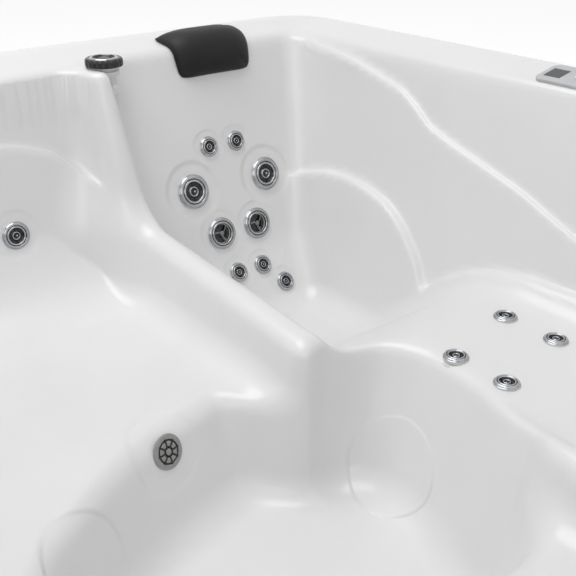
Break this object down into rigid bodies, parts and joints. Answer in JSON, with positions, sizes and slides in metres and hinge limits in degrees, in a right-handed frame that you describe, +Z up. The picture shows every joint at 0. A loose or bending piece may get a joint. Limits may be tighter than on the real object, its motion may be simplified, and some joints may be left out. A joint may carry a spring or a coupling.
{
  "type": "hot tub",
  "caption": "Square moulded hot tub with a jetted lounger, seats, a central footwell, deck controls, a corner skimmer filter and a panelled cabinet.",
  "frame": {"origin": "middle of the base, on the ground", "axes": "+Z up, +Y towards the wall behind the lounger's head, +X towards the side the lounger lies along"},
  "size_m": [2.2, 2.2, 0.9349],
  "materials": {
    "acrylic_shell": "polished",
    "cabinet_panel": "satin",
    "corner_trim": "satin",
    "base_tray": "matte",
    "frame_timber": "sawn",
    "screw_steel": "satin",
    "jet_plastic": "moulded",
    "jet_chrome": "polished",
    "rotor_grey": "moulded",
    "knob_black": "moulded",
    "keypad_grey": "satin",
    "window_dark": "polished",
    "button_white": "satin",
    "filter_white": "moulded",
    "cartridge_fabric": "pleated",
    "disc_grey": "moulded",
    "lens_clear": "polished",
    "pump_black": "moulded",
    "motor_paint": "painted",
    "pipe_white": "moulded",
    "hose_white": "moulded",
    "heater_steel": "brushed",
    "box_grey": "moulded",
    "drain_grey": "moulded",
    "pillow_foam": "smooth skin"
  },
  "bodies": {
    "tub": {"base_pan": "base_tray", "control_box": "box_grey", "control_valves": "jet_plastic", "corner_trims": "corner_trim", "display_window": "window_dark", "drain_valve": "drain_grey", "filter_housing": "jet_plastic", "fixed_jet_faces": "jet_chrome", "footwell_disc": "disc_grey", "frame_posts": "frame_timber", "frame_rails": "frame_timber", "heater": "heater_steel", "jet_bodies": "jet_plastic", "keypad_bezel": "keypad_grey", "left_panel": "cabinet_panel", "light_lens": "lens_clear", "lounger_pillow": "pillow_foam", "manifolds": "pipe_white", "ozone_generator": "box_grey", "panel_screws": "screw_steel", "power_gland": "drain_grey", "pump_motor": "motor_paint", "pump_wet_end": "pump_black", "rear_panel": "cabinet_panel", "right_panel": "cabinet_panel", "seat_pillows": "pillow_foam", "shell": "acrylic_shell", "suction_covers": "disc_grey", "suction_fittings": "jet_plastic", "suction_header": "pipe_white", "water_hoses": "hose_white"},
    "back_upper_east_jet": {"back_upper_east_jet": "jet_chrome"},
    "back_upper_west_jet": {"back_upper_west_jet": "jet_chrome"},
    "back_large_east_jet": {"back_large_east_jet": "jet_chrome"},
    "back_large_west_jet": {"back_large_west_jet": "jet_chrome"},
    "back_spinning_east_rotor": {"back_spinning_east_rotor": "rotor_grey"},
    "back_spinning_west_rotor": {"back_spinning_west_rotor": "rotor_grey"},
    "lumbar_upper_east_jet": {"lumbar_upper_east_jet": "jet_chrome"},
    "lumbar_upper_west_jet": {"lumbar_upper_west_jet": "jet_chrome"},
    "lumbar_lower_east_jet": {"lumbar_lower_east_jet": "jet_chrome"},
    "lumbar_lower_west_jet": {"lumbar_lower_west_jet": "jet_chrome"},
    "leg_east_upper_jet": {"leg_east_upper_jet": "jet_chrome"},
    "leg_east_lower_jet": {"leg_east_lower_jet": "jet_chrome"},
    "leg_west_upper_jet": {"leg_west_upper_jet": "jet_chrome"},
    "leg_west_lower_jet": {"leg_west_lower_jet": "jet_chrome"},
    "north_seat_east_jet": {"north_seat_east_jet": "jet_chrome"},
    "north_seat_west_jet": {"north_seat_west_jet": "jet_chrome"},
    "air_control_knob": {"air_control_knob": "knob_black"},
    "water_diverter_knob": {"water_diverter_knob": "knob_black"},
    "second_air_control_knob": {"second_air_control_knob": "knob_black"},
    "pump_button": {"pump_button": "button_white"},
    "light_button": {"light_button": "button_white"},
    "warmer_button": {"warmer_button": "button_white"},
    "cooler_button": {"cooler_button": "button_white"},
    "weir_door": {"weir_door": "filter_white"},
    "filter_assembly": {"filter_lid": "filter_white", "filter_cartridge": "cartridge_fabric"},
    "access_panel": {"front_panel": "cabinet_panel", "front_panel_screws": "screw_steel"},
    "drain_cap": {"drain_cap": "drain_grey"}
  },
  "joints": [
    {"name": "back_upper_east_turn", "type": "hinge", "parent": "tub", "child": "back_upper_east_jet", "pos_m": [0.649, 0.84481, 0.617], "axis": [0, -0.9543, 0.2987], "range_deg": [0, 120]},
    {"name": "back_upper_west_turn", "type": "hinge", "parent": "tub", "child": "back_upper_west_jet", "pos_m": [0.557, 0.84481, 0.617], "axis": [0, -0.9543, 0.2987], "range_deg": [0, 120]},
    {"name": "back_large_east_turn", "type": "hinge", "parent": "tub", "child": "back_large_east_jet", "pos_m": [0.727, 0.81195, 0.512], "axis": [0, -0.9543, 0.2987], "range_deg": [0, 120]},
    {"name": "back_large_west_turn", "type": "hinge", "parent": "tub", "child": "back_large_west_jet", "pos_m": [0.479, 0.81195, 0.512], "axis": [0, -0.9543, 0.2987], "range_deg": [0, 120]},
    {"name": "back_spinning_east_spin", "type": "hinge", "parent": "tub", "child": "back_spinning_east_rotor", "pos_m": [0.665, 0.77219, 0.385], "axis": [0, -0.9543, 0.2987], "continuous": true},
    {"name": "back_spinning_west_spin", "type": "hinge", "parent": "tub", "child": "back_spinning_west_rotor", "pos_m": [0.541, 0.77219, 0.385], "axis": [0, -0.9543, 0.2987], "continuous": true},
    {"name": "lumbar_upper_east_turn", "type": "hinge", "parent": "tub", "child": "lumbar_upper_east_jet", "pos_m": [0.646, 0.72088, 0.276], "axis": [0, -0.8331, 0.5532], "range_deg": [0, 120]},
    {"name": "lumbar_upper_west_turn", "type": "hinge", "parent": "tub", "child": "lumbar_upper_west_jet", "pos_m": [0.56, 0.72088, 0.276], "axis": [0, -0.8331, 0.5532], "range_deg": [0, 120]},
    {"name": "lumbar_lower_east_turn", "type": "hinge", "parent": "tub", "child": "lumbar_lower_east_jet", "pos_m": [0.7, 0.6837, 0.22], "axis": [0, -0.8331, 0.5532], "range_deg": [0, 120]},
    {"name": "lumbar_lower_west_turn", "type": "hinge", "parent": "tub", "child": "lumbar_lower_west_jet", "pos_m": [0.506, 0.6837, 0.22], "axis": [0, -0.8331, 0.5532], "range_deg": [0, 120]},
    {"name": "leg_east_upper_turn", "type": "hinge", "parent": "tub", "child": "leg_east_upper_jet", "pos_m": [0.713, -0.09, 0.413], "axis": [0, 0, 1], "range_deg": [0, 120]},
    {"name": "leg_east_lower_turn", "type": "hinge", "parent": "tub", "child": "leg_east_lower_jet", "pos_m": [0.713, -0.225, 0.413], "axis": [0, 0, 1], "range_deg": [0, 120]},
    {"name": "leg_west_upper_turn", "type": "hinge", "parent": "tub", "child": "leg_west_upper_jet", "pos_m": [0.493, -0.139, 0.413], "axis": [0, 0, 1], "range_deg": [0, 120]},
    {"name": "leg_west_lower_turn", "type": "hinge", "parent": "tub", "child": "leg_west_lower_jet", "pos_m": [0.493, -0.27, 0.413], "axis": [0, 0, 1], "range_deg": [0, 120]},
    {"name": "north_seat_east_turn", "type": "hinge", "parent": "tub", "child": "north_seat_east_jet", "pos_m": [-0.024, 0.83892, 0.505], "axis": [0, -0.9863, 0.165], "range_deg": [0, 120]},
    {"name": "north_seat_west_turn", "type": "hinge", "parent": "tub", "child": "north_seat_west_jet", "pos_m": [-0.254, 0.83892, 0.505], "axis": [0, -0.9863, 0.165], "range_deg": [0, 120]},
    {"name": "air_control_turn", "type": "hinge", "parent": "tub", "child": "air_control_knob", "pos_m": [0.275, 0.872, 0.87], "axis": [0, 0, 1], "range_deg": [0, 270]},
    {"name": "water_diverter_turn", "type": "hinge", "parent": "tub", "child": "water_diverter_knob", "pos_m": [-0.872, 0.48, 0.87], "axis": [0, 0, 1], "range_deg": [0, 180]},
    {"name": "second_air_control_turn", "type": "hinge", "parent": "tub", "child": "second_air_control_knob", "pos_m": [-0.48, -0.872, 0.87], "axis": [0, 0, 1], "range_deg": [0, 270]},
    {"name": "pump_button_press", "type": "slide", "parent": "tub", "child": "pump_button", "axis": [0.2095, 0, -0.9778], "range_m": [0, 0.0015], "stiffness_N_per_m": 300, "springref_m": -0.003},
    {"name": "light_button_press", "type": "slide", "parent": "tub", "child": "light_button", "axis": [0.2095, 0, -0.9778], "range_m": [0, 0.0015], "stiffness_N_per_m": 300, "springref_m": -0.003},
    {"name": "warmer_button_press", "type": "slide", "parent": "tub", "child": "warmer_button", "axis": [0.2095, 0, -0.9778], "range_m": [0, 0.0015], "stiffness_N_per_m": 300, "springref_m": -0.003},
    {"name": "cooler_button_press", "type": "slide", "parent": "tub", "child": "cooler_button", "axis": [0.2095, 0, -0.9778], "range_m": [0, 0.0015], "stiffness_N_per_m": 300, "springref_m": -0.003},
    {"name": "weir_tilt", "type": "hinge", "parent": "tub", "child": "weir_door", "pos_m": [-0.74931, -0.74931, 0.707], "axis": [-0.7071, 0.7071, 0], "range_deg": [-70, 0]},
    {"name": "filter_lift", "type": "slide", "parent": "tub", "child": "filter_assembly", "axis": [0, 0, 1], "range_m": [0, 0.45]},
    {"name": "access_panel_pull", "type": "slide", "parent": "tub", "child": "access_panel", "axis": [0, -1, 0], "range_m": [0, 0.3]},
    {"name": "drain_cap_pull", "type": "slide", "parent": "tub", "child": "drain_cap", "axis": [-1, 0, 0], "range_m": [0, 0.04]}
  ]
}
